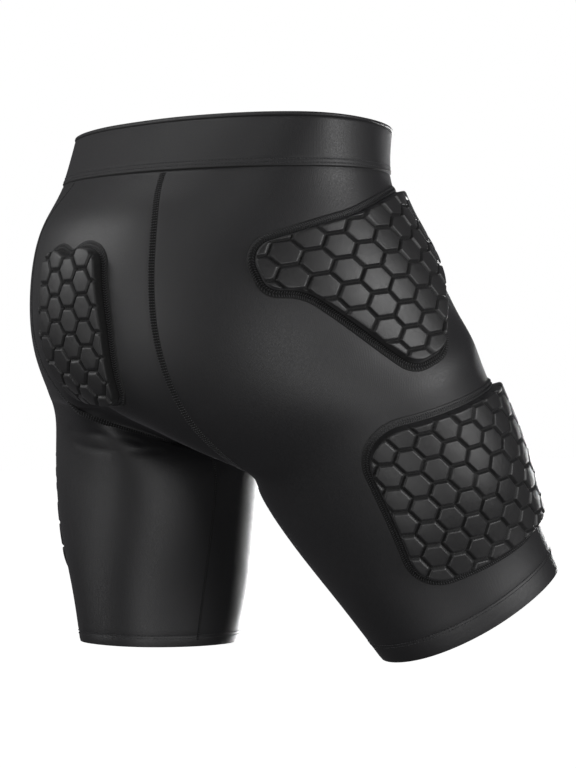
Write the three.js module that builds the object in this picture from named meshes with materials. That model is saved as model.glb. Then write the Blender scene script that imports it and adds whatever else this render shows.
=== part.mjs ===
// Padded hip protection shorts: a stretch body of three panels with a wide waistband and two leg
// hems, and five raised pads of hexagonal foam cells over the tailbone, the hips and the thighs.
// They keep the shape that they have when worn, with the right thigh swung forward.
//
// Millimetres and degrees. +Z is up, the front faces -Y and the wearer's right side is at -X.
// The origin is the middle of the waist opening, at the height of the waistband's rim.
import * as THREE from 'three';

// Girths and depths of the worn body
const hipHalfWidth = 198;
const bellyDepth = 145;
const seatDepth = 175;
const crotchDrop = 230;
const legLength = 209;
const thighRadius = 96;
const thighSpread = 98;
const gussetHalfWidth = 56;

// Stance
const rightFlexAngle = 31.7;
const leftFlexAngle = -2;
const rightSplayAngle = 8.5;
const leftSplayAngle = -1.6;
const hipJointDrop = 116;

// Each hem's lift and its rise for each millimetre forward and outward, by side
const leftHemLift = 10;
const hems = {
  [-1]: { lift: 0, forward: 0, out: 0.01 },
  1: { lift: leftHemLift, forward: 0.01, out: 0.04 },
};

// Cloth
const clothThickness = 1.2;
const bandThickness = 2.2;
const hemThickness = 2;
const seamGap = 0.3;
const seamMarginRatio = 1.5;

// Pads
const padThickness = 9;
const grooveDepth = 3;
const grooveHalfWidth = 2.6;
const padSeat = 1.4;
const hipPadWidth = 190;
const hipPadHeight = 134;
const thighPadWidth = 178;
const thighPadHeight = 140;
const tailPadWidth = 79;
const tailPadHeight = 125;
const padCornerRadius = 20;
const cellPitch = 21.5;

// Grid of the cage: columns of a half strip, of the outer leg and of the inner leg
const stripColumns = 2;
const outerColumns = 6;
const innerColumns = 4;
const halfRing = stripColumns + outerColumns + stripColumns;
const refinements = 3;

// Torso sections from the rim down to the row where the legs part: drop is a share of
// crotchDrop, half and shift of hipHalfWidth, front and flat of bellyDepth, back and cheek of
// seatDepth, and seam is the back seam's angle from the front centre
const torsoRows = [
  { drop: 0.00, half: 0.885, front: 0.955, back: 0.385, shift: -0.13, seam: 159, cheek: 0.01, flat: 0.00 },
  { drop: 0.18, half: 0.88, front: 0.845, back: 0.585, shift: -0.095, seam: 162, cheek: 0.01, flat: 0.00 },
  { drop: 0.33, half: 0.915, front: 0.86, back: 0.87, shift: -0.025, seam: 152, cheek: 0.01, flat: 0.04 },
  { drop: 0.61, half: 1.00, front: 1.005, back: 0.985, shift: 0.055, seam: 157, cheek: 0.04, flat: 0.15 },
  { drop: 0.84, half: 0.96, front: 0.985, back: 0.995, shift: 0.075, seam: 159, cheek: 0.035, flat: 0.21 },
  { drop: 1.00, half: 1.025, front: 0.875, back: 0.75, shift: 0.04, seam: 161, cheek: 0.023, flat: 0.15 },
];
const frontSeamAngles = [38, 36, 34, 32, 30, 28];
const cheekAngle = 148;
const cheekSpanAngle = 18;
const flatSpanAngle = 42;
const rimTilt = [-0.04, 0.02];

// Gusset stations from the front to the back: forward is a share of seatDepth, half of
// gussetHalfWidth, and drops of crotchDrop at the centre, halfway and at the seam
const gussetRows = [
  { forward: 0.41, drops: [0.99, 0.99, 0.99], half: 1.00 },
  { forward: 0.17, drops: [1.12, 1.12, 1.12], half: 0.79 },
  { forward: -0.10, drops: [1.165, 1.165, 1.165], half: 0.71 },
  { forward: -0.35, drops: [1.09, 1.07, 1.09], half: 0.79 },
  { forward: -0.715, drops: [1.03, 0.95, 1.045], half: 0.945 },
];

// Leg sections below that row: drop is a share of legLength, out of thighSpread, and the
// forward place and both radii of thighRadius
const legRows = [
  { drop: 0.155, out: 1.015, forward: -0.07, wide: 0.96, deep: 1.01 },
  { drop: 0.48, out: 1.01, forward: -0.09, wide: 0.91, deep: 0.955 },
  { drop: 0.735, out: 0.98, forward: -0.035, wide: 0.67, deep: 0.925 },
  { drop: 1.00, out: 1.02, forward: -0.035, wide: 0.615, deep: 0.81 },
];
const outerLegArcAngle = 125;

// The first leg section is fuller at its inner back, where the thigh meets the seat
const innerFillRatio = 0.13;
const innerFillAngle = 145;
const innerFillSpanAngle = 35;
const innerFillDropRatio = 0.5;

const colours = { cloth: 0x1b1b1e, band: 0x1d1d20, pad: 0x202023 };

const rad = THREE.MathUtils.degToRad;
const clamp = THREE.MathUtils.clamp;

// A half ring of the torso at one section, from the front centre to the back centre
function torsoPoint(row, index, angle) {
  const s = Math.sin(rad(angle));
  const c = Math.cos(rad(angle));
  const depth = c > 0 ? row.front * bellyDepth : row.back * seatDepth;
  const cheek = row.cheek * seatDepth * Math.exp(-(((angle - cheekAngle) / cheekSpanAngle) ** 2));
  const flat = row.flat * bellyDepth * Math.exp(-((angle / flatSpanAngle) ** 2));
  const out = row.half * hipHalfWidth * s;
  const forward = row.shift * hipHalfWidth + depth * c - cheek - flat;
  const rise = (rimTilt[index] ?? 0) * forward;
  return [out, forward, rise - row.drop * crotchDrop];
}

function columnAngle(row, index, column) {
  const front = frontSeamAngles[index];
  if (column <= stripColumns) return (front * column) / stripColumns;
  const outer = column - stripColumns;
  if (outer <= outerColumns) return front + ((row.seam - front) * outer) / outerColumns;
  return row.seam + ((180 - row.seam) * (outer - outerColumns)) / stripColumns;
}

function gussetPoint(station, column) {
  const row = gussetRows[station];
  const out = (row.half * gussetHalfWidth * column) / stripColumns;
  return [out, row.forward * seatDepth, -row.drops[column] * crotchDrop];
}

// Leg columns run from the front seam round the outside to the back seam and then inside
function legPoint(index, column, side) {
  const row = legRows[index];
  const inner = 360 - 2 * outerLegArcAngle;
  const turn = column <= outerColumns
    ? outerLegArcAngle - (2 * outerLegArcAngle * column) / outerColumns
    : -outerLegArcAngle - (inner * (column - outerColumns)) / innerColumns;
  const nearFill = Math.exp(-(((turn + innerFillAngle) / innerFillSpanAngle) ** 2));
  const fill = index === 0 ? innerFillRatio * nearFill : 0;
  const radius = thighRadius * (1 + fill);
  const out = row.out * thighSpread + row.wide * radius * Math.cos(rad(turn));
  const forward = row.forward * thighRadius + row.deep * radius * Math.sin(rad(turn));
  const fillDrop = fill * thighRadius * innerFillDropRatio;
  const hem = index === legRows.length - 1 ? hems[side] : { lift: 0, forward: 0, out: 0 };
  const fromAxis = [forward - row.forward * thighRadius, out - row.out * thighSpread];
  const tilt = hem.forward * fromAxis[0] + hem.out * fromAxis[1];
  return [out, forward, hem.lift + tilt - fillDrop - crotchDrop - row.drop * legLength];
}

// Turns a point of the neutral body with the thigh, by a share that grows down the body. The
// inner side of a leg lags behind its outer side.
const bendStartDrop = 70;
const bendEndDrop = 268;
const hipJointOut = 90;
const bendFullOut = 55;
const torsoEase = 0.7;
const innerLag = 0.4;
const lagReach = 150;
const lagLimitShare = 1.2;
const torsoShare = (out) => clamp(out / bendFullOut, 0, 1) ** torsoEase;
const legShare = (out) => 1 - innerLag * (1 - Math.min(out / lagReach, lagLimitShare));

function pose([out, forward, up], flex, spread, shareAcross) {
  const t = clamp((-up - bendStartDrop) / (bendEndDrop - bendStartDrop), 0, 1);
  const share = t * t * (3 - 2 * t) * shareAcross(out);
  const a = rad(flex) * share;
  const b = rad(spread) * share;
  const z0 = up + hipJointDrop;
  const f = forward * Math.cos(a) - z0 * Math.sin(a);
  const z1 = forward * Math.sin(a) + z0 * Math.cos(a);
  const o = (out - hipJointOut) * Math.cos(b) - z1 * Math.sin(b) + hipJointOut;
  const z = (out - hipJointOut) * Math.sin(b) + z1 * Math.cos(b) - hipJointDrop;
  return [o, f, z];
}

// The cage: shared points, quads and the chart square that each quad covers
function buildCage() {
  const points = [];
  const index = new Map();
  const quads = [];
  const lastRow = torsoRows.length - 1;

  function vertex(key, side, local, shareAcross = torsoShare) {
    const name = `${key}:${local[0] === 0 ? 0 : side}`;
    if (!index.has(name)) {
      const flex = side < 0 ? rightFlexAngle : leftFlexAngle;
      const spread = side < 0 ? rightSplayAngle : leftSplayAngle;
      const [out, forward, up] = pose(local, flex, spread, shareAcross);
      index.set(name, points.length);
      points.push(new THREE.Vector3(side * out, -forward, up));
    }
    return index.get(name);
  }
  function torso(side, r, i) {
    if (r === lastRow && i <= stripColumns) return gusset(side, 0, i);
    if (r === lastRow && i >= halfRing - stripColumns) return gusset(side, innerColumns, halfRing - i);
    const row = torsoRows[r];
    const middle = i === 0 || i === halfRing;
    const p = torsoPoint(row, r, columnAngle(row, r, i));
    return vertex(`t${r},${i}`, side, middle ? [0, p[1], p[2]] : p);
  }
  function gusset(side, station, column) {
    return vertex(`g${station},${column}`, side, gussetPoint(station, column));
  }
  function leg(side, r, i) {
    const column = i % (outerColumns + innerColumns);
    if (r > 0) {
      return vertex(`l${r},${column}`, side, legPoint(r - 1, column, side), legShare);
    }
    if (column <= outerColumns) return torso(side, lastRow, stripColumns + column);
    return gusset(side, innerColumns - (column - outerColumns), stripColumns);
  }
  function patch(chart, side, rows, columns, at) {
    for (let r = 0; r < rows; r++) {
      for (let i = 0; i < columns; i++) {
        const square = [[r, i], [r + 1, i], [r + 1, i + 1], [r, i + 1]];
        if (side < 0) square.reverse();
        quads.push({ chart: `${chart}${side}`, at: square, v: square.map(([a, b]) => at(side, a, b)) });
      }
    }
  }
  for (const side of [-1, 1]) {
    patch('torso', side, lastRow, halfRing, torso);
    patch('gusset', side, innerColumns, stripColumns, gusset);
    patch('leg', side, legRows.length, outerColumns + innerColumns, leg);
  }
  return { points, quads };
}

// One Catmull-Clark step over the cage
function refine({ points, quads }) {
  const edges = new Map();
  const faces = points.map(() => []);
  const around = points.map(() => []);
  quads.forEach((quad, f) => {
    quad.v.forEach((a, k) => {
      const b = quad.v[(k + 1) % 4];
      const name = a < b ? `${a},${b}` : `${b},${a}`;
      if (!edges.has(name)) {
        edges.set(name, { ends: [a, b], faces: [] });
        around[a].push(name);
        around[b].push(name);
      }
      edges.get(name).faces.push(f);
      faces[a].push(f);
    });
  });
  const mean = (list) => list.reduce((s, p) => s.add(p), new THREE.Vector3()).divideScalar(list.length);
  const centres = quads.map((quad) => mean(quad.v.map((v) => points[v])));
  const next = points.map((p, v) => {
    const rim = around[v].map((name) => edges.get(name)).filter((e) => e.faces.length === 1);
    if (rim.length) {
      const ends = rim.map((e) => points[e.ends[0] === v ? e.ends[1] : e.ends[0]]);
      return p.clone().multiplyScalar(0.75).addScaledVector(mean(ends), 0.25);
    }
    const n = faces[v].length;
    const mid = mean(around[v].map((name) => mean(edges.get(name).ends.map((e) => points[e]))));
    const face = mean(faces[v].map((f) => centres[f]));
    return p.clone().multiplyScalar(n - 3).addScaledVector(mid, 2).add(face).divideScalar(n);
  });
  const centreAt = centres.map((p) => next.push(p) - 1);
  const edgeAt = new Map();
  for (const [name, e] of edges) {
    const list = e.ends.map((v) => points[v]);
    if (e.faces.length === 2) list.push(...e.faces.map((f) => centres[f]));
    edgeAt.set(name, next.push(mean(list)) - 1);
  }
  const half = (a, b) => [(a[0] + b[0]) / 2, (a[1] + b[1]) / 2];
  const split = quads.flatMap((quad, f) => quad.v.map((a, k) => {
    const b = quad.v[(k + 1) % 4];
    const z = quad.v[(k + 3) % 4];
    const after = edgeAt.get(a < b ? `${a},${b}` : `${b},${a}`);
    const before = edgeAt.get(a < z ? `${a},${z}` : `${z},${a}`);
    const at = [quad.at[k], half(quad.at[k], quad.at[(k + 1) % 4]),
      half(quad.at[0], quad.at[2]), half(quad.at[k], quad.at[(k + 3) % 4])];
    return { chart: quad.chart, at, v: [a, after, centreAt[f], before] };
  }));
  return { points: next, quads: split };
}

// The refined surface as one grid of point numbers for each chart, with smooth normals
function buildSurface() {
  let mesh = buildCage();
  for (let i = 0; i < refinements; i++) mesh = refine(mesh);
  const scale = 2 ** refinements;
  const charts = {};
  const normals = mesh.points.map(() => new THREE.Vector3());
  for (const quad of mesh.quads) {
    const [a, b, c, d] = quad.v.map((v) => mesh.points[v]);
    const n = c.clone().sub(a).cross(d.clone().sub(b));
    quad.v.forEach((v) => normals[v].add(n));
    const chart = (charts[quad.chart] ??= []);
    quad.at.forEach(([r, i], k) => {
      (chart[r * scale] ??= [])[i * scale] = quad.v[k];
    });
  }
  normals.forEach((n) => n.normalize());
  return { points: mesh.points, normals, charts, scale };
}

const surface = buildSurface();
const perCell = surface.scale;

const material = (name, color, roughness) =>
  new THREE.MeshStandardMaterial({ name, color, roughness, metalness: 0 });
const clothMaterial = material('stretch cloth', colours.cloth, 0.62);
const bandMaterial = material('elastic band', colours.band, 0.7);
const padMaterial = material('moulded foam pad', colours.pad, 0.55);

function solid(name, vertices, triangles, look) {
  const geometry = new THREE.BufferGeometry();
  const numbers = vertices.flatMap((p) => p.toArray());
  geometry.setAttribute('position', new THREE.Float32BufferAttribute(numbers, 3));
  geometry.setIndex(triangles.flat());
  geometry.computeVertexNormals();
  const mesh = new THREE.Mesh(geometry, look);
  mesh.name = name;
  return mesh;
}

// Cloth between grid lines: every listed quad gets an outer and an inner face, and the free
// edges are closed. Edge points are drawn in so that neighbours keep the seam gap.
function clothPanel(name, quads, thickness, look, stand = 0) {
  const uses = new Map();
  const neighbours = new Map();
  for (const quad of quads) {
    quad.forEach((a, k) => {
      const b = quad[(k + 1) % 4];
      uses.set(`${a},${b}`, [a, b]);
      for (const v of quad) {
        if (!neighbours.has(v)) neighbours.set(v, new Set());
        neighbours.get(v).add(a);
      }
    });
  }
  const rim = [...uses.values()].filter(([a, b]) => !uses.has(`${b},${a}`));
  const onRim = new Set(rim.flat());
  const place = new Map();
  const vertices = [];
  for (const [v, near] of neighbours) {
    const p = surface.points[v].clone();
    const n = surface.normals[v];
    if (onRim.has(v)) {
      const pull = new THREE.Vector3();
      for (const w of near) pull.add(surface.points[w].clone().sub(surface.points[v]));
      for (const edge of rim.filter((pair) => pair.includes(v))) {
        const along = surface.points[edge[1]].clone().sub(surface.points[edge[0]]).normalize();
        pull.addScaledVector(along, -pull.dot(along));
      }
      pull.addScaledVector(n, -pull.dot(n));
      if (pull.length() > 0) p.addScaledVector(pull.normalize(), (seamGap * seamMarginRatio) / 2);
    }
    place.set(v, vertices.length);
    vertices.push(p.clone().addScaledVector(n, stand), p.addScaledVector(n, stand - thickness));
  }
  const triangles = [];
  for (const [a, b, c, d] of quads.map((quad) => quad.map((v) => place.get(v)))) {
    triangles.push([a, b, c], [a, c, d], [a + 1, c + 1, b + 1], [a + 1, d + 1, c + 1]);
  }
  for (const [a, b] of rim.map((edge) => edge.map((v) => place.get(v)))) {
    triangles.push([a, a + 1, b + 1], [a, b + 1, b]);
  }
  return solid(name, vertices, triangles, look);
}

// Quads between two lists of grid lines of one chart, turned to face outwards
function chartQuads(chart, side, rows, columns) {
  const grid = surface.charts[`${chart}${side}`];
  const quads = [];
  for (let r = 0; r + 1 < rows.length; r++) {
    for (let i = 0; i + 1 < columns.length; i++) {
      const quad = [grid[rows[r]][columns[i]], grid[rows[r + 1]][columns[i]],
        grid[rows[r + 1]][columns[i + 1]], grid[rows[r]][columns[i + 1]]];
      quads.push(side < 0 ? quad.reverse() : quad);
    }
  }
  return quads;
}

function range(from, to, step) {
  return Array.from({ length: Math.round((to - from) / step) + 1 }, (_, k) => from + k * step);
}
const rowStep = perCell / 2;
const outerStep = perCell / 4;
const coarseStep = perCell / 2;
const bandRows = range(0, perCell, rowStep);
const bodyRows = range(perCell, (torsoRows.length - 1) * perCell, rowStep);
const stripEnd = stripColumns * perCell;
const outerEnd = (stripColumns + outerColumns) * perCell;
const ringEnd = halfRing * perCell;
const hemStart = legRows.length * perCell - perCell / 4;

const legOuterEnd = outerColumns * perCell;
const legColumns = (outerColumns + innerColumns) * perCell;

function legQuads(side, rows) {
  return [
    ...chartQuads('leg', side, rows, range(0, legOuterEnd, outerStep)),
    ...chartQuads('leg', side, rows, range(legOuterEnd, legColumns, coarseStep)),
  ];
}

function legPanel(name, side) {
  const legDown = [...range(0, hemStart, rowStep).filter((r) => r <= hemStart - rowStep), hemStart];
  const quads = [
    ...chartQuads('torso', side, bodyRows, range(stripEnd, outerEnd, outerStep)),
    ...legQuads(side, legDown),
  ];
  return clothPanel(name, quads, clothThickness, clothMaterial);
}

function hem(name, side) {
  const quads = legQuads(side, [hemStart, legRows.length * perCell]);
  return clothPanel(name, quads, hemThickness, clothMaterial);
}

// The strip runs from the back of the waist between the legs to the front of the waist
function middlePanel() {
  const gussetLines = range(0, innerColumns * perCell, coarseStep);
  const stripLines = range(0, stripEnd, coarseStep);
  const quads = [-1, 1].flatMap((side) => [
    ...chartQuads('torso', side, bodyRows, stripLines),
    ...chartQuads('torso', side, bodyRows, range(outerEnd, ringEnd, coarseStep)),
    ...chartQuads('gusset', side, gussetLines, stripLines),
  ]);
  return clothPanel('middle_panel', quads, clothThickness, clothMaterial);
}

function waistband() {
  const columns = [...range(0, stripEnd, coarseStep), ...range(stripEnd, outerEnd, outerStep).slice(1),
    ...range(outerEnd, ringEnd, coarseStep).slice(1)];
  const quads = [-1, 1].flatMap((side) => chartQuads('torso', side, bandRows, columns));
  return clothPanel('waistband', quads, bandThickness, bandMaterial, bandThickness - clothThickness);
}

// A grid of surface points that pads are laid on, with rows down and columns across
class PadGrid {
  constructor(rows) {
    this.rows = rows;
    this.lastRow = rows.length - 1;
    this.lastColumn = rows[0].length - 1;
  }

  at(source, column, row) {
    const u = clamp(column, 0, this.lastColumn - 0.001);
    const v = clamp(row, 0, this.lastRow - 0.001);
    const i = Math.floor(u);
    const j = Math.floor(v);
    const mix = (line) => source[line[i]].clone().lerp(source[line[i + 1]], u - i);
    return mix(this.rows[j]).lerp(mix(this.rows[j + 1]), v - j);
  }

  frame(column, row) {
    const u = clamp(column, 0.6, this.lastColumn - 0.7);
    const v = clamp(row, 0.6, this.lastRow - 0.7);
    const across = this.at(surface.points, u + 0.5, v).sub(this.at(surface.points, u - 0.5, v));
    const down = this.at(surface.points, u, v + 0.5).sub(this.at(surface.points, u, v - 0.5));
    const normal = this.at(surface.normals, u, v).normalize();
    return { across, down, normal };
  }

  // Column and row steps that move a point by a short way on the surface
  step({ across, down }, way, length) {
    const aa = across.dot(across);
    const ad = across.dot(down);
    const dd = down.dot(down);
    const det = aa * dd - ad * ad;
    const wa = way.dot(across);
    const wd = way.dot(down);
    return [((wa * dd - wd * ad) / det) * length, ((wd * aa - wa * ad) / det) * length];
  }
}

const walkSteps = 12;

// Lays a flat pad's points on the surface by straight walks from the pad's centre
function padLayer(grid, centre) {
  const start = grid.frame(centre.column, centre.row);
  const up = start.down.clone().negate().normalize();
  const right = up.clone().cross(start.normal);
  if (right.dot(start.across) < 0) right.negate();
  return (x, y, height) => {
    const length = Math.hypot(x, y);
    const way = right.clone().multiplyScalar(x).addScaledVector(up, y);
    if (length > 0) way.divideScalar(length);
    let u = centre.column;
    let v = centre.row;
    for (let k = 0; k < walkSteps; k++) {
      const first = grid.frame(u, v);
      way.addScaledVector(first.normal, -way.dot(first.normal)).normalize();
      const [hu, hv] = grid.step(first, way, length / walkSteps / 2);
      const middle = grid.frame(u + hu, v + hv);
      way.addScaledVector(middle.normal, -way.dot(middle.normal)).normalize();
      const [du, dv] = grid.step(middle, way, length / walkSteps);
      u += du;
      v += dv;
    }
    const normal = grid.at(surface.normals, u, v).normalize();
    return grid.at(surface.points, u, v).addScaledVector(normal, height);
  };
}

// The outer side of a leg from the waist to the hem, with columns from the back seam forward
function flankGrid(side) {
  const torso = surface.charts[`torso${side}`].map((row) => row.slice(stripEnd, outerEnd + 1).reverse());
  const leg = surface.charts[`leg${side}`].map((row) => row.slice(0, outerColumns * perCell + 1).reverse());
  return new PadGrid([...torso, ...leg.slice(1)]);
}

// The whole torso, with columns from the left over the back to the right
function backGrid() {
  const right = surface.charts['torso-1'];
  const left = surface.charts.torso1;
  return new PadGrid(right.map((row, r) => [...left[r], ...[...row].reverse().slice(1)]));
}

// An outline from its corners, each rounded by its own radius
function roundedOutline(corners, width, height) {
  const points = [];
  const arcStep = rad(45);
  corners.forEach((corner, k) => {
    const at = (i) => {
      const c = corners[(i + corners.length) % corners.length];
      return new THREE.Vector2(c.x * width, c.y * height);
    };
    const here = at(k);
    const u = at(k - 1).sub(here);
    const w = at(k + 1).sub(here);
    const limit = 0.49 * Math.min(u.length(), w.length());
    u.normalize();
    w.normalize();
    const angle = Math.acos(clamp(u.dot(w), -1, 1));
    const reach = Math.min((corner.r * padCornerRadius) / Math.tan(angle / 2), limit);
    const radius = reach * Math.tan(angle / 2);
    const middle = here.clone().addScaledVector(u.clone().add(w).normalize(), radius / Math.sin(angle / 2));
    const from = here.clone().addScaledVector(u, reach).sub(middle);
    const to = here.clone().addScaledVector(w, reach).sub(middle);
    const turn = Math.atan2(from.cross(to), from.dot(to));
    const steps = Math.max(1, Math.ceil(Math.abs(turn) / arcStep));
    for (let i = 0; i <= steps; i++) {
      points.push(from.clone().rotateAround(new THREE.Vector2(), (turn * i) / steps).add(middle));
    }
  });
  return points;
}

// The part of a polygon on the left of the line from a to b
function clipBy(polygon, a, b) {
  const side = (p) => (b.x - a.x) * (p.y - a.y) - (b.y - a.y) * (p.x - a.x);
  const kept = [];
  polygon.forEach((p, k) => {
    const q = polygon[(k + 1) % polygon.length];
    const sp = side(p);
    const sq = side(q);
    if (sp >= 0) kept.push(p);
    if ((sp > 0 && sq < 0) || (sp < 0 && sq > 0)) kept.push(p.clone().lerp(q, sp / (sp - sq)));
  });
  return kept;
}

function area(polygon) {
  return polygon.reduce((sum, p, k) => sum + p.cross(polygon[(k + 1) % polygon.length]), 0) / 2;
}

const latticeSteps = 10;

// Hexagonal cells of a lattice, clipped by the pad's outline
function padCells(outline, lattice) {
  const a = new THREE.Vector2(...lattice.a).multiplyScalar(cellPitch);
  const b = new THREE.Vector2(...lattice.b).multiplyScalar(cellPitch);
  const corner = (m, n) => a.clone().multiplyScalar(m / 3).addScaledVector(b, n / 3);
  const thirds = [[1, 1], [2, -1], [1, -2], [-1, -1], [-2, 1], [-1, 2]];
  const hexagon = thirds.map(([m, n]) => corner(m, n));
  if (area(hexagon) < 0) hexagon.reverse();
  const cells = [];
  for (let i = -latticeSteps; i <= latticeSteps; i++) {
    for (let j = -latticeSteps; j <= latticeSteps; j++) {
      const [m, n] = [i + lattice.start[0], j + lattice.start[1]];
      const centre = a.clone().multiplyScalar(m).addScaledVector(b, n);
      let piece = outline;
      for (let k = 0; k < 6 && piece.length; k++) {
        const from = hexagon[k].clone().add(centre);
        piece = clipBy(piece, from, hexagon[(k + 1) % 6].clone().add(centre));
      }
      if (piece.length > 2 && area(piece) > 0.01) cells.push(piece);
    }
  }
  return cells;
}

// A pad: raised cells with grooves between them, a side wall and a base that follows the cloth
function hexPad(name, lay, outline, lattice, mirrored) {
  const vertices = [];
  const triangles = [];
  const numbers = new Map();
  const outward = mirrored ? -1 : 1;
  const grooveHeight = padThickness - grooveDepth;
  function vertex(p, height) {
    const key = `${Math.round(p.x * 500)},${Math.round(p.y * 500)},${height}`;
    if (!numbers.has(key)) {
      numbers.set(key, vertices.length);
      vertices.push(lay(p.x, p.y, height));
    }
    return numbers.get(key);
  }
  function face(...corners) {
    const list = outward > 0 ? corners : [...corners].reverse();
    for (let k = 1; k + 1 < list.length; k++) triangles.push([list[0], list[k], list[k + 1]]);
  }
  const links = new Map();
  for (const cell of padCells(outline, lattice)) {
    const number = (k) => vertex(cell[k % cell.length], grooveHeight);
    const merged = cell.filter((p, k) => number(k) !== number(k + 1));
    if (merged.length < 3) continue;
    const centre = merged.reduce((s, p) => s.add(p), new THREE.Vector2()).divideScalar(merged.length);
    const nearest = Math.min(...merged.map((p) => p.distanceTo(centre)));
    const full = nearest > 2 * grooveHalfWidth;
    const drawnIn = (p) => p.clone().lerp(centre, grooveHalfWidth / p.distanceTo(centre));
    const top = full ? merged.map((p) => vertex(drawnIn(p), padThickness)) : [];
    const edge = merged.map((p) => vertex(p, grooveHeight));
    const feet = merged.map((p) => vertex(p, padSeat));
    merged.forEach((p, k) => {
      const next = (k + 1) % merged.length;
      if (full) face(edge[k], edge[next], top[next], top[k]);
      links.set(`${edge[k]},${edge[next]}`, { low: [edge[k], edge[next]], feet: [feet[k], feet[next]] });
    });
    face(...(full ? top : edge));
    face(...feet.reverse());
  }
  for (const { low, feet } of links.values()) {
    if (!links.has(`${low[1]},${low[0]}`)) face(feet[0], feet[1], low[1], low[0]);
  }
  return solid(name, vertices, triangles, padMaterial);
}

// Corners of each pad as shares of its width and height, each rounded by a share of padCornerRadius
const hipCorners = [
  { x: -0.475, y: 0.425, r: 1.00 },
  { x: 0.000, y: 0.360, r: 6.00 },
  { x: 0.545, y: 0.418, r: 1.10 },
  { x: 0.495, y: 0.030, r: 3.00 },
  { x: 0.168, y: -0.575, r: 1.20 },
  { x: 0.010, y: -0.590, r: 0.90 },
  { x: -0.326, y: 0.067, r: 2.50 },
  { x: -0.470, y: 0.150, r: 0.70 },
];
const thighCorners = [
  { x: -0.505, y: 0.590, r: 1.50 },
  { x: 0.495, y: 0.275, r: 1.20 },
  { x: 0.505, y: -0.560, r: 1.20 },
  { x: -0.495, y: -0.450, r: 1.50 },
];
const tailCorners = [
  { x: -0.455, y: 0.400, r: 0.70 },
  { x: -0.220, y: 0.450, r: 0.90 },
  { x: 0.000, y: 0.385, r: 0.60 },
  { x: 0.220, y: 0.450, r: 0.90 },
  { x: 0.455, y: 0.400, r: 0.70 },
  { x: 0.500, y: -0.065, r: 4.50 },
  { x: 0.430, y: -0.570, r: 0.60 },
  { x: -0.430, y: -0.570, r: 0.60 },
  { x: -0.500, y: -0.065, r: 4.50 },
];

// Cell lattices: both steps as shares of cellPitch, and the first cell's place in steps
const hipLattice = { a: [0.9, -0.69], b: [-0.09, -0.91], start: [-0.37, -0.54] };
const thighLattice = { a: [0.735, -0.76], b: [-0.11, -0.98], start: [-0.63, -0.37] };
const tailLattice = { a: [0.77, -0.46], b: [0, -0.92], start: [0.27, -0.06] };

const padShape = (corners, width, height, lattice) => ({ corners, width, height, lattice });
const hipPad = padShape(hipCorners, hipPadWidth, hipPadHeight, hipLattice);
const thighPad = padShape(thighCorners, thighPadWidth, thighPadHeight, thighLattice);
const tailPad = padShape(tailCorners, tailPadWidth, tailPadHeight, tailLattice);

// Pad centres as columns and rows of the cage
const hipCentre = { column: 3.06, row: 2.81 };
const thighCentres = { [-1]: { column: 2.92, row: 6.90 }, 1: { column: 3.58, row: 6.88 } };
const tailCentre = { column: 10, row: 3.25 };

function seatedPad(name, grid, centre, pad, mirrored) {
  const lay = padLayer(grid, { column: centre.column * perCell, row: centre.row * perCell });
  const outline = roundedOutline(pad.corners, pad.width, pad.height);
  if (area(outline) < 0) outline.reverse();
  return hexPad(name, lay, outline, pad.lattice, mirrored);
}

const group = new THREE.Group();
group.add(waistband());
group.add(middlePanel());
for (const [name, side] of [['right', -1], ['left', 1]]) {
  const grid = flankGrid(side);
  const mirrored = side > 0;
  group.add(legPanel(`${name}_leg_panel`, side));
  group.add(hem(`${name}_hem`, side));
  group.add(seatedPad(`${name}_hip_pad`, grid, hipCentre, hipPad, mirrored));
  group.add(seatedPad(`${name}_thigh_pad`, grid, thighCentres[side], thighPad, mirrored));
}
group.add(seatedPad('tailbone_pad', backGrid(), tailCentre, tailPad, false));

export default group;
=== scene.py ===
import math
import bpy
import numpy as np
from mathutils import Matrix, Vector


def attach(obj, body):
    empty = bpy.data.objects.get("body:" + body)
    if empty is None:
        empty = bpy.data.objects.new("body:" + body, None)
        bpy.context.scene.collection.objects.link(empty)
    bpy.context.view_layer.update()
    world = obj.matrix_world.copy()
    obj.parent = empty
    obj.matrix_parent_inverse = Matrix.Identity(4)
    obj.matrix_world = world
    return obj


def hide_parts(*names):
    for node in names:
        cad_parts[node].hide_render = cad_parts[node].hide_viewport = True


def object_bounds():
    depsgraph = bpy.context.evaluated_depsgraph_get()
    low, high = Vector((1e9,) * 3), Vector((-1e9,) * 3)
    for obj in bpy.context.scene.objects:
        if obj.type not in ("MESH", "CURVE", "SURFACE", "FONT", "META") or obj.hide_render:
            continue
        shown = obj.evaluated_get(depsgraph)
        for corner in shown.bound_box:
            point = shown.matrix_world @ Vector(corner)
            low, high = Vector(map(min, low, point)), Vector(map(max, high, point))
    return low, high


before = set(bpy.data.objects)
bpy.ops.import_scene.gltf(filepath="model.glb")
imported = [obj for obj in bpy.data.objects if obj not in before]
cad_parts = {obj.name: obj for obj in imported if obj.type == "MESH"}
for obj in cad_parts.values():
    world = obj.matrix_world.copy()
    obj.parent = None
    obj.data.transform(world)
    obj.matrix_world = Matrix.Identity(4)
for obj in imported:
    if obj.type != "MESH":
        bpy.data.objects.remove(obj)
bpy.ops.object.select_all(action="DESELECT")
cadBox = [list(corner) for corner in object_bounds()]
print("frame loaded")

mm = 0.001


# Camera: behind the right hip, level with the seat
view = {
    "turn": 53.0, "distance": 2.2, "across": 0.0455, "height": -0.2091, "lens": 123.75, "sensor": 36,
    "farthest": 60,
}

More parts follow.
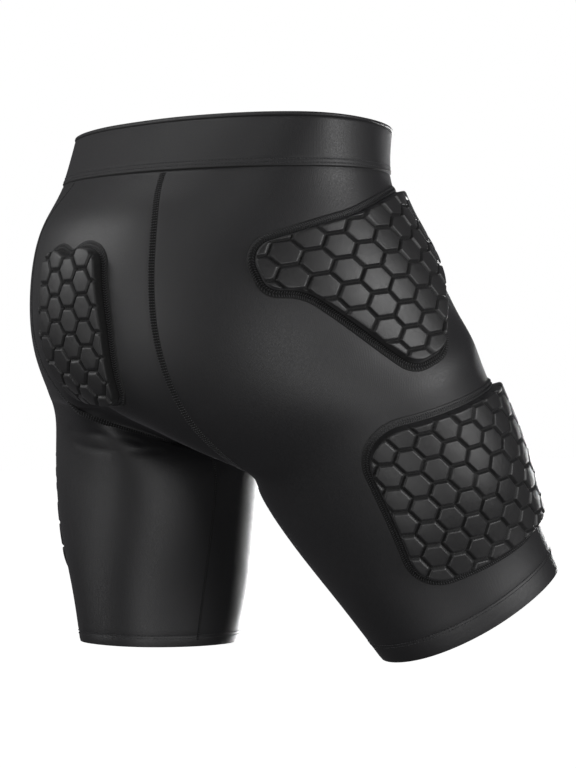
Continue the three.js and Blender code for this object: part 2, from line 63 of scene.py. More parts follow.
turn = math.radians(view["turn"])
ahead = np.array([math.sin(turn), -math.cos(turn), 0])
rightward = np.array([-math.cos(turn), -math.sin(turn), 0])
eye = rightward * view["across"] - ahead * view["distance"] + np.array([0, 0, view["height"]])
bpy.ops.object.camera_add(location=eye, rotation=(math.pi / 2, 0, turn + math.pi))
camera = bpy.context.object
camera.data.lens = view["lens"]
camera.data.sensor_width = view["sensor"]
camera.data.clip_end = view["farthest"]
bpy.context.scene.camera = camera


# Shader maths: a socket with the usual operators
class Tone:
    def __init__(self, tree, socket=None):
        self.tree = tree
        self.socket = socket

    def node(self, kind, settings, inputs, output=0):
        made = self.tree.nodes.new(kind)
        for name, value in settings.items():
            if name == "stops":
                ramp = made.color_ramp
                while len(ramp.elements) < len(value):
                    ramp.elements.new(0.5)
                for element, (position, color) in zip(ramp.elements, value):
                    element.position = position
                    element.color = color
            else:
                setattr(made, name, value)
        for name, value in inputs.items():
            if isinstance(value, Tone):
                self.tree.links.new(value.socket, made.inputs[name])
            else:
                made.inputs[name].default_value = value
        return Tone(self.tree, made.outputs[output])

    def maths(self, operation, first, second):
        return self.node("ShaderNodeMath", {"operation": operation}, {0: first, 1: second})

    def __add__(self, other):
        return self.maths("ADD", self, other)

    def __sub__(self, other):
        return self.maths("SUBTRACT", self, other)

    def __rsub__(self, other):
        return self.maths("SUBTRACT", other, self)

    def __mul__(self, other):
        return self.maths("MULTIPLY", self, other)

    __radd__ = __add__
    __rmul__ = __mul__


# Knitted or laminated cloth: colour drifts over hand-wide patches, the fine weave is in the bump,
# and the mesh's painted shade darkens and dulls the grooves, walls and seams where shade falls
def clothMaterial(look):
    made = bpy.data.materials.new(look["name"])
    made.use_nodes = True
    tree = made.node_tree
    shader = tree.nodes["Principled BSDF"]
    tone = Tone(tree)
    place = tone.node("ShaderNodeTexCoord", {}, {}, "Object")
    patchInputs = {"Vector": place, "Scale": look["patchScale"], "Detail": look["patchDetail"]}
    patches = tone.node("ShaderNodeTexNoise", {}, patchInputs)
    grainInputs = {"Vector": place, "Scale": look["grainScale"], "Detail": look["grainDetail"]}
    grain = tone.node("ShaderNodeTexNoise", {}, grainInputs)
    weaveInputs = {"Vector": place, "Scale": look["weaveScale"], "Randomness": look["weaveRandomness"]}
    weave = tone.node("ShaderNodeTexVoronoi", {"feature": "F1"}, weaveInputs)
    mix = patches * look["patchShare"] + grain * (1 - look["patchShare"])
    shade = tone.node("ShaderNodeAttribute", {"attribute_name": "shade"}, {}, 2)
    colors = [(*look[name], 1) for name in ("deep", "dark", "light")]
    stops = list(zip(look["stops"], colors))
    # painted shade: the mesh's shade value pulls the colour down to the deep colour and raises the roughness
    color = tone.node("ShaderNodeValToRGB", {"stops": stops}, {"Fac": mix - shade})
    rough = look["roughness"] + (grain - 0.5) * look["roughnessSpan"] + shade * look["paintedShadeRoughness"]
    height = weave * look["weaveShare"] + grain * (1 - look["weaveShare"])
    bumpInputs = {"Height": height, "Strength": look["bump"], "Distance": look["bumpDepth"]}
    normal = tone.node("ShaderNodeBump", {}, bumpInputs)
    tree.links.new(color.socket, shader.inputs["Base Color"])
    tree.links.new(rough.socket, shader.inputs["Roughness"])
    tree.links.new(normal.socket, shader.inputs["Normal"])
    shader.inputs["IOR"].default_value = look["ior"]
    shader.inputs["Sheen Weight"].default_value = look["sheen"]
    shader.inputs["Sheen Roughness"].default_value = look["sheenRoughness"]
    shader.inputs["Sheen Tint"].default_value = (*look["sheenTint"], 1)
    return made


stretchLook = {
    "name": "stretchCloth", "dark": (0.0075, 0.0075, 0.0085), "light": (0.012, 0.0115, 0.0125),
    # deep is the colour of painted shade, reached only where the mesh's painted shade darkens the cloth
    "deep": (0.001, 0.001, 0.001), "stops": (0, 0.3, 0.7), "paintedShadeRoughness": 0.5,
    "patchScale": 14, "patchDetail": 3.0, "patchShare": 0.65, "grainScale": 750, "grainDetail": 2.0,
    "weaveScale": 1500, "weaveRandomness": 0.35, "weaveShare": 0.6, "roughness": 0.5, "roughnessSpan": 0.28,
    "bump": 0.35, "bumpDepth": 0.0004, "ior": 1.48, "sheen": 0.06, "sheenRoughness": 0.45,
    "sheenTint": (0.9, 0.88, 0.95),
}
bandLook = {
    **stretchLook, "name": "elasticBand", "roughness": 0.53, "weaveScale": 1100, "bump": 0.3,
}
padLook = {
    **stretchLook, "name": "laminatedPad", "dark": (0.009, 0.009, 0.0095), "light": (0.014, 0.0135, 0.014),
    "grainScale": 700, "weaveScale": 1700, "roughness": 0.45, "bump": 0.3, "sheen": 0.05,
}
threadLook = {
    **stretchLook, "name": "thread", "dark": (0.018, 0.018, 0.02), "light": (0.035, 0.035, 0.037),
    "grainScale": 900, "weaveScale": 2500, "roughness": 0.5, "bump": 0.2,
}
stretchCloth = clothMaterial(stretchLook)
elasticBand = clothMaterial(bandLook)
laminatedPad = clothMaterial(padLook)
threadFinish = clothMaterial(threadLook)
print("materials made")


# The worn body in millimetres: torso rows, the strip between the legs and the leg rows, all as
# shares of these sizes
worn = {
    "hipHalfWidth": 198, "bellyDepth": 145, "seatDepth": 175, "crotchDrop": 230, "legLength": 209,
    "thighRadius": 96, "thighSpread": 98, "gussetHalfWidth": 56, "hipJointDrop": 116, "hipJointOut": 90,
    "bendStartDrop": 70, "bendEndDrop": 268, "bendFullOut": 55, "torsoEase": 0.7, "innerLag": 0.4,
    "lagReach": 150, "lagLimitShare": 1.2, "cheekAngle": 148, "cheekSpanAngle": 18, "flatSpanAngle": 42,
    "outerLegArcAngle": 125, "innerFill": 0.13, "innerFillAngle": 145, "innerFillSpan": 35,
    "innerFillDrop": 0.5, "refinements": 4,
}
stance = {-1: {"flex": 31.7, "splay": 8.5}, 1: {"flex": -2, "splay": -1.6}}
hemTilt = {-1: {"lift": 0, "forward": 0, "out": 0.01}, 1: {"lift": 10, "forward": 0.01, "out": 0.04}}
# drop, half width, front and back depth, shift, back seam angle, cheek, flattened front, front
# seam angle and tilt of each torso row
torsoRows = [
    (0.00, 0.885, 0.955, 0.385, -0.13, 159, 0.01, 0.00, 38, -0.04),
    (0.18, 0.88, 0.845, 0.585, -0.095, 162, 0.01, 0.00, 36, 0.02),
    (0.33, 0.915, 0.86, 0.87, -0.025, 152, 0.01, 0.04, 34, 0),
    (0.61, 1.00, 1.005, 0.985, 0.055, 157, 0.04, 0.15, 32, 0),
    (0.84, 0.96, 0.985, 0.995, 0.075, 159, 0.035, 0.21, 30, 0),
    (1.00, 1.025, 0.875, 0.75, 0.04, 161, 0.023, 0.15, 28, 0),
]
# forward, half width and the drops at the centre, halfway and at the seam of the strip between
# the legs
gussetRows = [
    (0.41, 1.00, (0.99, 0.99, 0.99)),
    (0.17, 0.79, (1.12, 1.12, 1.12)),
    (-0.10, 0.71, (1.165, 1.165, 1.165)),
    (-0.35, 0.79, (1.09, 1.07, 1.09)),
    (-0.715, 0.945, (1.03, 0.95, 1.045)),
]
# drop, out, forward, wide and deep of each leg row
legRows = [
    (0.155, 1.015, -0.07, 0.96, 1.01),
    (0.48, 1.01, -0.09, 0.91, 0.955),
    (0.735, 0.98, -0.035, 0.67, 0.925),
    (1.00, 1.02, -0.035, 0.615, 0.81),
]
stripCells, outerCells, innerCells = 2, 6, 4
halfRing = stripCells + outerCells + stripCells
lastTorso = len(torsoRows) - 1


def torsoPoint(index, column):
    drop, half, front, back, shift, seam, cheek, flat, frontSeam, tilt = torsoRows[index]
    marks = [0, stripCells, stripCells + outerCells, halfRing]
    angle = float(np.interp(column, marks, [0, frontSeam, seam, 180]))
    s, c = math.sin(math.radians(angle)), math.cos(math.radians(angle))
    depth = front * worn["bellyDepth"] if c > 0 else back * worn["seatDepth"]
    fromCheek = (angle - worn["cheekAngle"]) / worn["cheekSpanAngle"]
    cheekBulge = cheek * worn["seatDepth"] * math.exp(-fromCheek ** 2)
    flatFront = flat * worn["bellyDepth"] * math.exp(-(angle / worn["flatSpanAngle"]) ** 2)
    out = half * worn["hipHalfWidth"] * s if 0 < column < halfRing else 0
    forward = shift * worn["hipHalfWidth"] + depth * c - cheekBulge - flatFront
    return out, forward, tilt * forward - drop * worn["crotchDrop"]


def gussetPoint(station, column):
    forward, half, drops = gussetRows[station]
    out = half * worn["gussetHalfWidth"] * column / stripCells
    return out, forward * worn["seatDepth"], -drops[column] * worn["crotchDrop"]


def legPoint(index, column, side):
    drop, outShare, forwardShare, wide, deep = legRows[index]
    arc = worn["outerLegArcAngle"]
    angle = float(np.interp(column, [0, outerCells, outerCells + innerCells], [arc, -arc, arc - 360]))
    axisOut, axisForward = outShare * worn["thighSpread"], forwardShare * worn["thighRadius"]
    nearFill = math.exp(-((angle + worn["innerFillAngle"]) / worn["innerFillSpan"]) ** 2)
    fill = worn["innerFill"] * nearFill if index == 0 else 0
    radius = worn["thighRadius"] * (1 + fill)
    out = axisOut + wide * radius * math.cos(math.radians(angle))
    forward = axisForward + deep * radius * math.sin(math.radians(angle))
    rise = -fill * worn["thighRadius"] * worn["innerFillDrop"]
    if index == len(legRows) - 1:
        hem = hemTilt[side]
        rise = hem["lift"] + hem["forward"] * (forward - axisForward) + hem["out"] * (out - axisOut)
    return out, forward, rise - worn["crotchDrop"] - drop * worn["legLength"]


# The right thigh is swung forward; the inner side of a leg lags behind its outer side
def posed(point, side, isLeg):
    out, forward, up = point
    bendLength = worn["bendEndDrop"] - worn["bendStartDrop"]
    t = min(max((-up - worn["bendStartDrop"]) / bendLength, 0), 1)
    if isLeg:
        across = 1 - worn["innerLag"] * (1 - min(out / worn["lagReach"], worn["lagLimitShare"]))
    else:
        across = min(max(out / worn["bendFullOut"], 0), 1) ** worn["torsoEase"]
    share = t * t * (3 - 2 * t) * across
    a, b = math.radians(stance[side]["flex"]) * share, math.radians(stance[side]["splay"]) * share
    z0 = up + worn["hipJointDrop"]
    f = forward * math.cos(a) - z0 * math.sin(a)
    z1 = forward * math.sin(a) + z0 * math.cos(a)
    fromJoint = out - worn["hipJointOut"]
    o = fromJoint * math.cos(b) - z1 * math.sin(b) + worn["hipJointOut"]
    z = fromJoint * math.sin(b) + z1 * math.cos(b) - worn["hipJointDrop"]
    return side * o, -f, z


def buildCage():
    points, index, quads, corners, charts = [], {}, [], [], []

    def vertex(key, side, local, isLeg=False):
        name = (key, 0 if local[0] == 0 else side)
        if name not in index:
            index[name] = len(points)
            points.append(posed(local, side, isLeg))
        return index[name]

    def gusset(side, station, column):
        return vertex(("gusset", station, column), side, gussetPoint(station, column))

    def torso(side, row, column):
        if row == lastTorso and column <= stripCells:
            return gusset(side, 0, column)
        if row == lastTorso and column >= halfRing - stripCells:
            return gusset(side, innerCells, halfRing - column)
        return vertex(("torso", row, column), side, torsoPoint(row, column))

    def leg(side, row, column):
        column %= outerCells + innerCells
        if row > 0:
            return vertex(("leg", row, column), side, legPoint(row - 1, column, side), True)
        if column <= outerCells:
            return torso(side, lastTorso, stripCells + column)
        return gusset(side, innerCells - (column - outerCells), stripCells)

    def patch(name, side, rows, columns, at):
        for row in range(rows):
            for column in range(columns):
                square = [(row, column), (row + 1, column), (row + 1, column + 1), (row, column + 1)]
                if side < 0:
                    square.reverse()
                quads.append([at(side, *corner) for corner in square])
                corners.append(square)
                charts.append((name, side))

    for side in (-1, 1):
        patch("torso", side, lastTorso, halfRing, torso)
        patch("gusset", side, innerCells, stripCells, gusset)
        patch("leg", side, len(legRows), outerCells + innerCells, leg)
    return np.array(points), np.array(quads), np.array(corners, float), charts


# One Catmull-Clark step, which also halves each quad's square of its chart
def refine(points, quads, corners):
    count = len(points)
    centres = points[quads].mean(1)
    pairs = np.sort(np.stack([quads, np.roll(quads, -1, 1)], -1), -1).reshape(-1, 2)
    edges, which = np.unique(pairs, axis=0, return_inverse=True)
    which = which.reshape(-1, 4)
    uses = np.bincount(which.ravel(), minlength=len(edges))
    middles = points[edges].mean(1)
    faceSum = np.zeros_like(middles)
    np.add.at(faceSum, which.ravel(), np.repeat(centres, 4, 0))
    inner = uses == 2
    edgePoints = middles.copy()
    edgePoints[inner] = (middles[inner] * 2 + faceSum[inner]) / 4
    faces = np.bincount(quads.ravel(), minlength=count)[:, None]
    faceMean, middleMean, rimSum = np.zeros((3, count, 3))
    np.add.at(faceMean, quads.ravel(), np.repeat(centres, 4, 0))
    edgeCount = np.bincount(edges.ravel(), minlength=count)[:, None]
    for k in (0, 1):
        np.add.at(middleMean, edges[:, k], middles)
        np.add.at(rimSum, edges[~inner, k], points[edges[~inner, 1 - k]])
    moved = (points * (faces - 3) + 2 * middleMean / edgeCount + faceMean / faces) / faces
    rim = np.unique(edges[~inner])
    moved[rim] = points[rim] * 0.75 + rimSum[rim] * 0.125
    after = count + len(quads) + which
    before = np.roll(after, 1, 1)
    middle = np.repeat((count + np.arange(len(quads)))[:, None], 4, 1)
    split = np.stack([quads, after, middle, before], -1).reshape(-1, 4)
    halfNext = (corners + np.roll(corners, -1, 1)) / 2
    halfLast = (corners + np.roll(corners, 1, 1)) / 2
    centre = np.repeat(corners.mean(1)[:, None], 4, 1)
    squares = np.stack([corners, halfNext, centre, halfLast], 2).reshape(-1, 4, 2)
    return np.concatenate([moved, centres, edgePoints]), split, squares


def unit(vectors):
    return vectors / np.maximum(np.linalg.norm(vectors, axis=-1, keepdims=True), 1e-9)


points, quads, corners, charts = buildCage()
for level in range(worn["refinements"]):
    points, quads, corners = refine(points, quads, corners)
perCell = 2 ** worn["refinements"]
chartOf = np.repeat(np.arange(len(charts)), 4 ** worn["refinements"])
normals = np.zeros_like(points)
crossed = np.cross(points[quads[:, 2]] - points[quads[:, 0]], points[quads[:, 3]] - points[quads[:, 1]])
for k in range(4):
    np.add.at(normals, quads[:, k], crossed)
normals = unit(normals)
grids = {}
for name in sorted(set(charts)):
    chosen = np.isin(chartOf, [k for k, chart in enumerate(charts) if chart == name])
    at = np.rint(corners[chosen] * perCell).astype(int)
    grid = np.zeros(at.reshape(-1, 2).max(0) + 1, int)
    grid[at[..., 0], at[..., 1]] = quads[chosen]
    grids[name] = grid
print("worn surface made:", len(points), "points")


# A grid of surface points that pads and bands are laid on: rows down, columns across. Look-ups
# and slopes stop short of its edges.
class Lay:
    placeEnd, slopeStart, slopeEnd = 1.001, 0.6, 1.7

    def __init__(self, numbers):
        self.places, self.normals = points[numbers], normals[numbers]
        self.size = np.array(numbers.shape)

    def at(self, source, column, row):
        column = np.clip(column, 0, self.size[1] - self.placeEnd)
        row = np.clip(row, 0, self.size[0] - self.placeEnd)
        i, j = column.astype(int), row.astype(int)
        a, b = (column - i)[..., None], (row - j)[..., None]
        top = (1 - a) * source[j, i] + a * source[j, i + 1]
        return (1 - b) * top + b * ((1 - a) * source[j + 1, i] + a * source[j + 1, i + 1])

    def steps(self, column, row):
        column = np.clip(column, self.slopeStart, self.size[1] - self.slopeEnd)
        row = np.clip(row, self.slopeStart, self.size[0] - self.slopeEnd)
        across = self.at(self.places, column + 0.5, row) - self.at(self.places, column - 0.5, row)
        down = self.at(self.places, column, row + 0.5) - self.at(self.places, column, row - 0.5)
        return across, down, unit(self.at(self.normals, column, row))

    # Straight walks over the surface from a centre, so that a flat shape wraps without stretch
    def wrap(self, centre, flat, height, walkSteps=12):
        column = np.full(len(flat), centre[0] * perCell)
        row = np.full(len(flat), centre[1] * perCell)
        across, down, normal = self.steps(column[:1], row[:1])
        up = unit(-down[0])
        right = np.cross(up, normal[0])
        if right @ across[0] < 0:
            right = -right
        length = np.linalg.norm(flat, axis=1)
        way = (flat[:, :1] * right + flat[:, 1:] * up) / np.maximum(length, 1e-9)[:, None]
        for _ in range(walkSteps):
            halfway = self.walk(column, row, way, length / walkSteps / 2)
            column, row, way = self.walk(column, row, way, length / walkSteps, halfway)
        normal = unit(self.at(self.normals, column, row))
        return self.at(self.places, column, row) + normal * np.asarray(height)[..., None]

    def walk(self, column, row, way, length, halfway=None):
        fromColumn, fromRow, way = halfway or (column, row, way)
        across, down, normal = self.steps(fromColumn, fromRow)
        way = unit(way - (way * normal).sum(-1, keepdims=True) * normal)
        aa, ad, dd = (across * across).sum(-1), (across * down).sum(-1), (down * down).sum(-1)
        wa, wd = (way * across).sum(-1), (way * down).sum(-1)
        share = length / (aa * dd - ad * ad)
        return column + (wa * dd - wd * ad) * share, row + (wd * aa - wa * ad) * share, way


stripEnd, outerEnd = stripCells * perCell, (stripCells + outerCells) * perCell


# The outside of a leg from the waist to the hem, columns from the back seam forward
def flankLay(side):
    torso = grids["torso", side][:, stripEnd:outerEnd + 1][:, ::-1]
    leg = grids["leg", side][1:, :outerCells * perCell + 1][:, ::-1]
    return Lay(np.concatenate([torso, leg]))


# The whole torso, columns from the left over the back to the right
backLay = Lay(np.concatenate([grids["torso", 1], grids["torso", -1][:, ::-1][:, 1:]], axis=1))
flanks = {side: flankLay(side) for side in (-1, 1)}


# Creases under the left seat: each a line of places in millimetres, dented along it with a soft
# roll above
folds = [
    {"depth": 2.2, "half": 4.5, "roll": 0.4,
     "line": [(108, 104, -224), (80, 118, -227), (57, 121, -229), (36, 110, -233)]},
    {"depth": 1.1, "half": 2.8, "roll": 0,
     "line": [(116, 90, -245), (80, 106, -247), (51, 103, -250), (28, 74, -257)]},
    {"depth": 0.9, "half": 2.6, "roll": 0,
     "line": [(80, 104, -259), (52, 98, -264), (28, 78, -265), (20, 60, -264)]},
]
foldSteps, rollAway = 24, 2


def foldRelief(places):
    relief = np.zeros(len(places))
    for fold in folds:
        line = np.array(fold["line"], float)
        steps = np.concatenate([np.linspace(a, b, foldSteps) for a, b in zip(line[:-1], line[1:])])
        apart = places[:, None] - steps
        distance = np.linalg.norm(apart, axis=2)
        nearest = distance.argmin(1)
        gap = distance[np.arange(len(places)), nearest] / fold["half"]
        above = places[:, 2] > steps[nearest, 2]
        relief -= fold["depth"] * np.exp(-gap ** 2)
        relief += fold["roll"] * np.exp(-(gap - rollAway) ** 2) * above
    return relief


def meshPiece(name, vertices, faces, material, smoothAngle=None, shade=None):
    data = bpy.data.meshes.new(name)
    data.from_pydata((np.asarray(vertices) * mm).tolist(), [], faces)
    data.materials.append(material)
    # painted shade per point, read by the cloth material to darken the colour
    if shade is not None:
        values = data.attributes.new("shade", "FLOAT", "POINT").data
        values.foreach_set("value", np.asarray(shade, np.float32))
    piece = bpy.data.objects.new(name, data)
    bpy.context.collection.objects.link(piece)
    data.polygons.foreach_set("use_smooth", [True] * len(data.polygons))
    if smoothAngle:
        bpy.ops.object.select_all(action="DESELECT")
        piece.select_set(True)
        bpy.context.view_layer.objects.active = piece
        bpy.ops.object.shade_smooth_by_angle(angle=math.radians(smoothAngle))
        piece.select_set(False)
    return piece


def chartQuads(name, side, rows, columns):
    grid = grids[name, side][np.ix_(rows, columns)]
    block = np.stack([grid[:-1, :-1], grid[1:, :-1], grid[1:, 1:], grid[:-1, 1:]], -1).reshape(-1, 4)
    return block[:, ::-1] if side < 0 else block


# Cloth between lines of the surface: outer and inner faces, with the free edges rolled and closed
def clothPiece(name, blocks, values, material, relief=None):
    used, quad = np.unique(np.concatenate(blocks), return_inverse=True)
    quad = quad.reshape(-1, 4)
    directed = np.stack([quad, np.roll(quad, -1, 1)], -1).reshape(-1, 2)
    codes = directed @ np.array([len(used), 1])
    rim = directed[~np.isin(codes, directed[:, ::-1] @ np.array([len(used), 1]))]
    onRim = np.zeros(len(used))
    onRim[rim.ravel()] = 1
    dent = relief(points[used]) if relief else np.zeros(len(used))
    stand = values["stand"] - onRim * values["roll"] + dent
    outer = points[used] + normals[used] * stand[:, None]
    inner = points[used] + normals[used] * (values["stand"] - values["thickness"] + dent)[:, None]
    count = len(used)
    walls = np.stack([rim[:, 0], rim[:, 0] + count, rim[:, 1] + count, rim[:, 1]], 1)
    faces = np.concatenate([quad, quad[:, ::-1] + count, walls]).tolist()
    piece = meshPiece(name, np.concatenate([outer, inner]), faces, material, values["smoothAngle"])
    a, b, c, d = (outer[quad[:, k]] for k in range(4))
    halves = np.concatenate([np.cross(b - a, c - a), np.cross(c - a, d - a)])
    return piece, np.linalg.norm(halves, axis=1).sum() / 2 * mm * mm


# Hangs a cloth piece on the root and hides the frame's part that it replaces
def declareCloth(piece, node):
    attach(piece, "root")
    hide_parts(node)


bodyStart, bodyEnd = perCell, lastTorso * perCell
ringEnd = halfRing * perCell
legColumnsEnd = (outerCells + innerCells) * perCell
legRowsEnd = len(legRows) * perCell


def span(first, last):
    return np.arange(first, last + 1)


panel = {"stand": 0.0, "thickness": 1.2, "roll": 0.35, "stretch": 1.12, "smoothAngle": 50}
middleValues = {**panel, "flat": (0.16, 0.78)}
legValues = {**panel, "flat": (0.56, 0.44)}
hemValues = {**panel, "thickness": 2.0, "flat": (0.42, 0.02), "hemRows": {-1: 5, 1: 3}}

middleBlocks = []
for side in (-1, 1):
    middleBlocks += [
        chartQuads("torso", side, span(bodyStart, bodyEnd), span(0, stripEnd)),
        chartQuads("torso", side, span(bodyStart, bodyEnd), span(outerEnd, ringEnd)),
        chartQuads("gusset", side, span(0, innerCells * perCell), span(0, stripEnd)),
    ]
middlePanel, area = clothPiece("middlePanelCloth", middleBlocks, middleValues, stretchCloth, foldRelief)
declareCloth(middlePanel, "middle_panel")
print("middle panel:", round(area, 4), "m2")

for side, sideName in ((-1, "right"), (1, "left")):
    hemLine = legRowsEnd - hemValues["hemRows"][side]
    blocks = [
        chartQuads("torso", side, span(bodyStart, bodyEnd), span(stripEnd, outerEnd)),
        chartQuads("leg", side, span(0, hemLine), span(0, legColumnsEnd)),
    ]
    relief = foldRelief if side > 0 else None
    legPanel, area = clothPiece(sideName + "LegPanelCloth", blocks, legValues, stretchCloth, relief)
    declareCloth(legPanel, sideName + "_leg_panel")
    print(sideName, "leg panel:", round(area, 4), "m2")
    hemBlocks = [chartQuads("leg", side, span(hemLine, legRowsEnd), span(0, legColumnsEnd))]
    hem, area = clothPiece(sideName + "HemFold", hemBlocks, hemValues, stretchCloth)
    declareCloth(hem, sideName + "_hem")
    print(sideName, "hem:", round(area, 4), "m2")


# Waistband: doubled cloth over elastic, with a rolled lip along the rim and a turned-in lower edge.
# Both profiles hold the place down the band as a share of its height, how far the cloth stands out
# there, and its painted shade: the outer one from the rim down, the inner one back up.
band = {
    "flat": (0.94, 0.06), "stretch": 1.12, "smoothAngle": 60,
    # painted shade: darker in the groove under the lip, in the dents of the two stitch rows and along the
    # lower edge
    "outer": [
        (0.0, 0.3, 0), (0.004, 1.0, 0), (0.02, 1.6, 0), (0.045, 1.75, 0), (0.062, 1.35, 0.2),
        (0.072, 0.5, 1), (0.08, 0.45, 1), (0.092, 0.95, 0.2), (0.12, 1.1, 0), (0.2, 1.1, 0),
        (0.3, 1.15, 0), (0.4, 1.2, 0), (0.5, 1.2, 0), (0.6, 1.15, 0), (0.7, 1.1, 0), (0.78, 1.05, 0),
        (0.82, 0.95, 0), (0.845, 0.75, 0.35), (0.87, 0.95, 0), (0.9, 0.95, 0), (0.922, 0.75, 0.35),
        (0.945, 0.95, 0), (0.97, 1.0, 0), (0.982, 0.85, 0.6), (0.992, 0.5, 1), (1.0, 0.1, 1),
    ],
    "inner": [(1.0, -0.7, 0), (0.75, -1.2, 0), (0.5, -1.2, 0), (0.25, -1.2, 0), (0.0, -0.7, 0)],
}
leftTorso, rightTorso = grids["torso", 1], grids["torso", -1]
bandLay = Lay(np.concatenate([leftTorso, rightTorso[:, ::-1][:, 1:], leftTorso[:, 1:2]], axis=1))
around = 2 * ringEnd


# A closed line round the band: its places, moved out by stand, and its normals
def bandLine(share, stand, count):
    place, down = np.arange(count, dtype=float), np.full(count, share * perCell)
    normal = unit(bandLay.at(bandLay.normals, place, down))
    return bandLay.at(bandLay.places, place, down) + normal * stand, normal


bandProfile = band["outer"] + band["inner"]
rows = [bandLine(share, stand, around)[0] for share, stand, dark in bandProfile]
faces = []
for r in range(len(rows)):
    below = (r + 1) % len(rows)
    for i in range(around):
        n = (i + 1) % around
        faces.append([r * around + i, below * around + i, below * around + n, r * around + n])
bandPaintedShade = np.repeat([dark for share, stand, dark in bandProfile], around)
bandPlaces = np.concatenate(rows)
waistband = meshPiece("waistbandCloth", bandPlaces, faces, elasticBand, band["smoothAngle"], bandPaintedShade)
outerRows = np.stack(rows[:len(band["outer"])])
declareCloth(waistband, "waistband")


# Threads: each stitch is a short tube whose ends dip into the cloth
ringSides, slant = 4, (0.3, 0.2, 0.9)


def threadPiece(name, stitches, radius):
    vertices, faces = [], []
    for path in stitches:
        path = np.asarray(path)
        tangent = unit(path[-1] - path[0])
        side = unit(np.cross(tangent, slant))
        lift = np.cross(tangent, side)
        start = len(vertices)
        for place in path:
            for k in range(ringSides):
                angle = 2 * math.pi * (k + 0.5) / ringSides
                vertices.append(place + (side * math.cos(angle) + lift * math.sin(angle)) * radius)
        for r in range(len(path) - 1):
            for k in range(ringSides):
                a, b = start + r * ringSides + k, start + r * ringSides + (k + 1) % ringSides
                faces.append([a, b, b + ringSides, a + ringSides])
        end = start + (len(path) - 1) * ringSides
        faces.append([start + k for k in reversed(range(ringSides))])
        faces.append([end + k for k in range(ringSides)])
    piece = meshPiece(name, vertices, faces, threadFinish)
    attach(piece, "root")


# Even steps along a line of surface points: place, normal and the way across
def alongLine(numbers, pitch):
    line, up = points[numbers], normals[numbers]
    gone = np.concatenate([[0], np.cumsum(np.linalg.norm(np.diff(line, axis=0), axis=1))])
    marks = np.arange(pitch, gone[-1] - pitch, pitch)
    place = np.stack([np.interp(marks, gone, line[:, k]) for k in range(3)], 1)
    normal = unit(np.stack([np.interp(marks, gone, up[:, k]) for k in range(3)], 1))
    across = unit(np.cross(normal, np.gradient(place, axis=0)))
    return place, normal, across


# A flatlock seam: short threads lie across it in columns, over a strip of painted shade that stands for the
# shade between them. Their ends lie lower than their middles, at a share of their height.
endShare = 0.3
# across the strip as a share of the seam's width, height and painted shade
shadeStripProfile = [(-0.6, -0.25, 0.2), (-0.5, 0.2, 1), (0.5, 0.2, 1), (0.6, -0.25, 0.2)]


def flatlock(numbers, values):
    place, normal, across = alongLine(numbers, values["pitch"])
    stitches = []
    for k in range(len(place)):
        for column in values["columns"]:
            middle, half = column * values["width"], values["length"] / 2
            base = place[k] + normal[k] * values["high"] * endShare
            start, end = base + across[k] * (middle - half), base + across[k] * (middle + half)
            stitches.append([start, (start + end) / 2 + normal[k] * values["high"], end])
    return stitches


# A strip of painted shade under the threads of a seam
def seamShadeStrip(name, lines, values):
    vertices, faces, shade = [], [], []
    for numbers in lines:
        place, normal, across = alongLine(numbers, values["pitch"])
        start = len(vertices)
        for offset, high, dark in shadeStripProfile:
            vertices += list(place + across * offset * values["width"] + normal * high)
            shade += [dark] * len(place)
        for r in range(len(shadeStripProfile) - 1):
            for k in range(len(place) - 1):
                a = start + r * len(place) + k
                faces.append([a, a + 1, a + len(place) + 1, a + len(place)])
    strip = meshPiece(name, vertices, faces, stretchCloth, shade=shade)
    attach(strip, "root")


# A row of plain stitches along a line, as on the hems and the waistband
def runningRow(place, normal, values):
    gone = np.concatenate([[0], np.cumsum(np.linalg.norm(np.diff(place, axis=0), axis=1))])
    length = values["length"]
    stitches = []
    for start in np.arange(0, gone[-1] - length, length + values["gap"]):
        marks = [start, start + length / 2, start + length]
        at = np.stack([np.interp(marks, gone, place[:, k]) for k in range(3)], 1)
        up = np.stack([np.interp(marks, gone, normal[:, k]) for k in range(3)], 1)
        stitches.append(at + up * np.array([[-values["dip"]], [values["high"]], [-values["dip"]]]))
    return stitches


seam = {
    "pitch": 2.2, "width": 4.9, "columns": (-0.38, 0, 0.38), "length": 1.35, "high": 0.35, "radius": 0.34,
}
inseam = {
    "pitch": 1.9, "width": 2.4, "columns": (0,), "length": 1.8, "high": 0.3, "radius": 0.25, "startRow": 4,
}
seamStitches, seamLines = [], []
for side in (-1, 1):
    torso, gusset = grids["torso", side], grids["gusset", side]
    back, front = torso[bodyStart:bodyEnd, outerEnd], torso[bodyStart:bodyEnd, stripEnd][::-1]
    seamLines.append(np.concatenate([back, gusset[::-1, stripEnd], front]))
    seamStitches += flatlock(seamLines[-1], seam)
threadPiece("seamStitches", seamStitches, seam["radius"])
seamShadeStrip("seamShadeStrips", seamLines, seam)
inseamStitches, inseamLines = [], []
innerColumn = (outerCells + innerCells // 2) * perCell
for side in (-1, 1):
    inseamLines.append(grids["leg", side][inseam["startRow"]:legRowsEnd, innerColumn])
    inseamStitches += flatlock(inseamLines[-1], inseam)
threadPiece("inseamStitches", inseamStitches, inseam["radius"])
seamShadeStrip("inseamShadeStrips", inseamLines, inseam)

hemStitch = {"length": 2.3, "gap": 0.5, "high": 0.3, "dip": 0.1, "radius": 0.22, "rows": (-0.8, 1.8)}
hemStitches = []
for side in (-1, 1):
    columns = span(0, legColumnsEnd)
    line = grids["leg", side][legRowsEnd - hemValues["hemRows"][side], columns]
    down = unit(points[grids["leg", side][legRowsEnd, columns]] - points[line])
    for offset in hemStitch["rows"]:
        hemStitches += runningRow(points[line] + down * offset, normals[line], hemStitch)
threadPiece("hemStitches", hemStitches, hemStitch["radius"])

